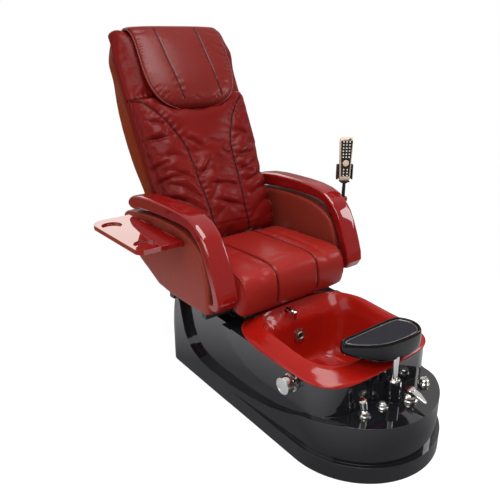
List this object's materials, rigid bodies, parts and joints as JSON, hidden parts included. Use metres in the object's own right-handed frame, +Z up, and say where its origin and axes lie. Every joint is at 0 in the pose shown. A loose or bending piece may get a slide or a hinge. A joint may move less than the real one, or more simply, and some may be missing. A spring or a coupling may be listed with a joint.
{
  "type": "pedicure chair",
  "caption": "Spa pedicure chair: red massage seat with lifting arms, fold-up tray and handset on a black base with a foot bath and swivel footrest.",
  "frame": {"origin": "on the floor under the middle of the base, at the underside of the middle floor pad", "axes": "+Z up; -Y towards the foot bath at the front; +X to the sitter's left, so the tray is at -X"},
  "size_m": [1.0193, 1.6331, 1.4188],
  "materials": {
    "gelcoat_black": "high-gloss moulded fibreglass",
    "gelcoat_red": "high-gloss moulded fibreglass",
    "frame_steel": "dark powder coat",
    "pad_rubber": "matte",
    "fittings_chrome": "polished",
    "jet_chrome": "satin",
    "pump_body": "moulded",
    "pipe_white": "plain pipe",
    "runner_steel": "bright",
    "shoe_black": "moulded",
    "footrest_gloss": "high gloss",
    "footrest_mat": "satin",
    "leather_seat": "smooth upholstery",
    "leather_side": "smooth upholstery",
    "lacquer_red": "high-gloss lacquer",
    "bracket_dark": "moulded",
    "lead_black": "matte",
    "handset_case": "moulded",
    "handset_keys": "moulded",
    "shell_red": "moulded",
    "wheel_nylon": "moulded"
  },
  "bodies": {
    "base": {"base_shell": "gelcoat_black", "base_frame": "frame_steel", "floor_pads": "pad_rubber", "tub": "gelcoat_red", "tub_drain": "fittings_chrome", "water_jet": "jet_chrome", "fill_spout": "fittings_chrome", "air_nozzles": "fittings_chrome", "pump": "pump_body", "pump_pipe": "pipe_white", "control_box": "pump_body", "slide_rails": "runner_steel", "slide_screw": "runner_steel", "faucet_body": "fittings_chrome", "button_bezel": "fittings_chrome", "diverter_base": "fittings_chrome", "shower_socket": "fittings_chrome", "footrest_collar": "fittings_chrome", "footrest_sleeve": "runner_steel", "drain_ring": "fittings_chrome"},
    "drain_knob": {"drain_knob": "fittings_chrome"},
    "drain_plug": {"drain_plug": "fittings_chrome"},
    "faucet_lever": {"faucet_lever": "fittings_chrome"},
    "jet_button": {"jet_button": "fittings_chrome"},
    "diverter_knob": {"diverter_knob": "fittings_chrome"},
    "hand_shower": {"hand_shower": "fittings_chrome"},
    "footrest_lift": {"footrest_post": "fittings_chrome"},
    "footrest": {"footrest_shell": "footrest_gloss", "footrest_pad": "footrest_mat"},
    "seat": {"seat_frame": "frame_steel", "slide_shoes": "shoe_black", "seat_cushion": "leather_seat", "side_panel_left": "leather_side", "side_panel_right": "leather_side", "arm_brackets": "frame_steel", "hinge_pins": "runner_steel", "recline_actuator": "shoe_black", "tray_rail": "lacquer_red", "tray_bracket": "bracket_dark"},
    "recline_rod": {"recline_rod": "runner_steel"},
    "tray": {"tray": "lacquer_red"},
    "arm_left": {"arm_left": "lacquer_red", "remote_bracket": "lacquer_red", "remote_post": "bracket_dark", "remote_lead": "lead_black"},
    "arm_right": {"arm_right": "lacquer_red"},
    "remote_cradle": {"remote_cradle": "bracket_dark"},
    "remote": {"remote": "handset_case"},
    "remote_keys": {"remote_keys": "handset_keys"},
    "remote_dial": {"remote_dial": "handset_keys"},
    "back": {"back_frame": "frame_steel", "back_shell": "shell_red", "back_cushion": "leather_seat", "headrest_flap": "leather_seat", "massage_rods": "runner_steel"},
    "massage_carriage": {"massage_carriage": "frame_steel"},
    "kneading_wheels": {"kneading_wheels": "wheel_nylon"}
  },
  "joints": [
    {"name": "drain_knob_turn", "type": "hinge", "parent": "base", "child": "drain_knob", "pos_m": [-0.3, -0.244, 0.288], "axis": [-1, 0, 0], "range_deg": [0, 90]},
    {"name": "drain_plug_lift", "type": "slide", "parent": "base", "child": "drain_plug", "axis": [0, 0, 1], "range_m": [0, 0.0101]},
    {"name": "faucet_turn", "type": "hinge", "parent": "base", "child": "faucet_lever", "pos_m": [0.046, -0.485, 0.245], "axis": [0, 0, 1], "range_deg": [-50, 50]},
    {"name": "jet_button_press", "type": "slide", "parent": "base", "child": "jet_button", "axis": [0, 0, -1], "range_m": [0, 0.004], "stiffness_N_per_m": 300},
    {"name": "diverter_turn", "type": "hinge", "parent": "base", "child": "diverter_knob", "pos_m": [0.162, -0.461, 0.225], "axis": [0, 0, 1], "range_deg": [0, 180]},
    {"name": "hand_shower_pull", "type": "slide", "parent": "base", "child": "hand_shower", "axis": [-0.2419, 0, 0.9703], "range_m": [0, 0.12]},
    {"name": "footrest_raise", "type": "slide", "parent": "base", "child": "footrest_lift", "axis": [0, 0, 1], "range_m": [0, 0.08]},
    {"name": "footrest_swivel", "type": "hinge", "parent": "footrest_lift", "child": "footrest", "pos_m": [0, -0.447, 0.29], "axis": [0, 0, 1], "range_deg": [-90, 90]},
    {"name": "seat_slide", "type": "slide", "parent": "base", "child": "seat", "axis": [0, 1, 0], "range_m": [0, 0.12]},
    {"name": "back_recline", "type": "hinge", "parent": "seat", "child": "back", "pos_m": [0, 0.54, 0.47], "axis": [-1, 0, 0], "range_deg": [0, 45]},
    {"name": "recline_rod_draw", "type": "slide", "parent": "seat", "child": "recline_rod", "axis": [0, 1, 0], "range_m": [-0.0876, 0.001]},
    {"name": "arm_left_lift", "type": "hinge", "parent": "seat", "child": "arm_left", "pos_m": [0.335, 0.667, 0.72788], "axis": [-1, 0, 0], "range_deg": [0, 70]},
    {"name": "arm_right_lift", "type": "hinge", "parent": "seat", "child": "arm_right", "pos_m": [-0.335, 0.667, 0.72788], "axis": [-1, 0, 0], "range_deg": [0, 70]},
    {"name": "tray_fold", "type": "hinge", "parent": "seat", "child": "tray", "pos_m": [-0.394, 0.444, 0.676], "axis": [0, 1, 0], "range_deg": [0, 86]},
    {"name": "handset_swivel", "type": "hinge", "parent": "arm_left", "child": "remote_cradle", "pos_m": [0.402, 0.195, 0.79], "axis": [0, 0, 1], "range_deg": [-60, 60]},
    {"name": "handset_lift", "type": "slide", "parent": "remote_cradle", "child": "remote", "axis": [0, 0, 1], "range_m": [0, 0.1]},
    {"name": "keys_press", "type": "slide", "parent": "remote", "child": "remote_keys", "axis": [0.5878, 0.809, 0], "range_m": [0, 0.001], "stiffness_N_per_m": 300},
    {"name": "dial_press", "type": "slide", "parent": "remote", "child": "remote_dial", "axis": [0.5878, 0.809, 0], "range_m": [0, 0.001], "stiffness_N_per_m": 300},
    {"name": "massage_travel", "type": "slide", "parent": "back", "child": "massage_carriage", "axis": [0, 0.4384, 0.8988], "range_m": [0, 0.43]},
    {"name": "kneading_spin", "type": "hinge", "parent": "massage_carriage", "child": "kneading_wheels", "pos_m": [0, 0.65409, 0.69251], "axis": [1, 0, 0], "continuous": true}
  ],
  "couplings": [
    {"joint": "drain_plug_lift", "follows": "drain_knob_turn", "m_per_rad": 0.0063},
    {"joint": "recline_rod_draw", "follows": "back_recline", "m_per_rad": -0.11099}
  ]
}
